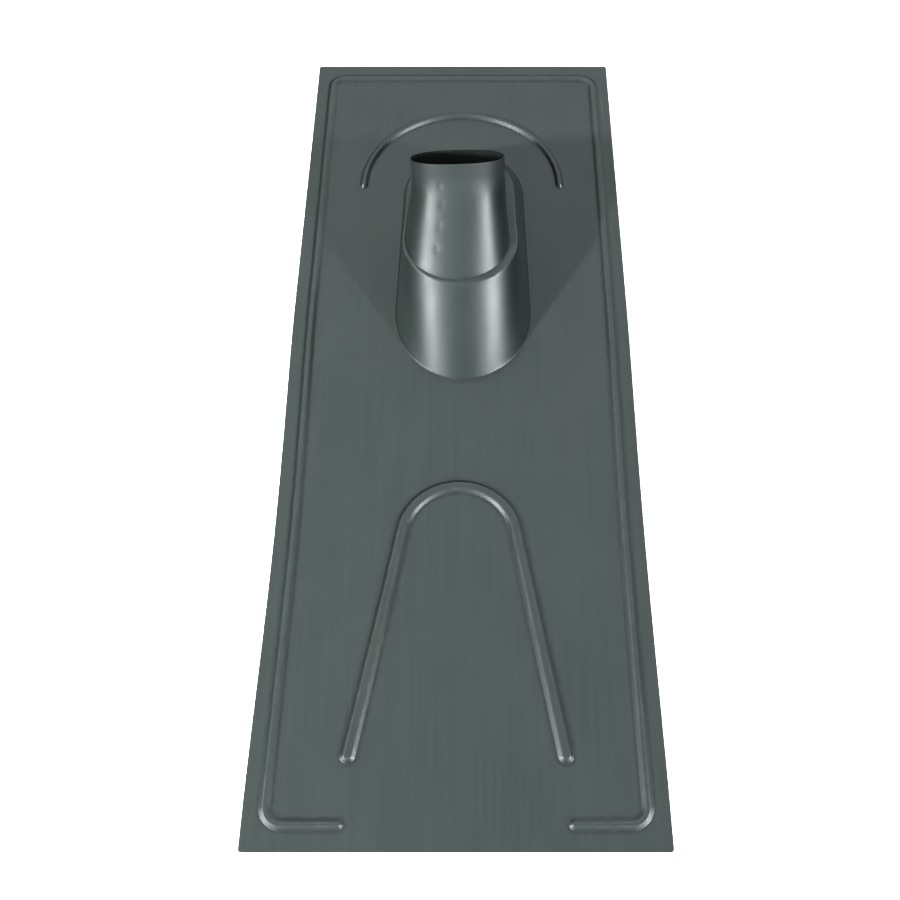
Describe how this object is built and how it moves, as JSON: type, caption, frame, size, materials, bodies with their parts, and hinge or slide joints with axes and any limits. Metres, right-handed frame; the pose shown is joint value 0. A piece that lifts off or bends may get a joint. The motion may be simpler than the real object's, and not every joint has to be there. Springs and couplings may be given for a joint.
{
  "type": "universal roof tile",
  "caption": "Pressed sheet roof tile with raised beads and a leaning two-stage neck that carries a vent or flue pipe through a pitched roof.",
  "frame": {"origin": "middle of the plate, on its underside", "axes": "+X across the roof, +Y up the roof, +Z off the roof"},
  "size_m": [0.38, 1, 0.1594],
  "materials": {
    "coated_sheet": "satin anthracite coating"
  },
  "bodies": {
    "root": {"roof_tile": "coated_sheet"}
  },
  "joints": []
}
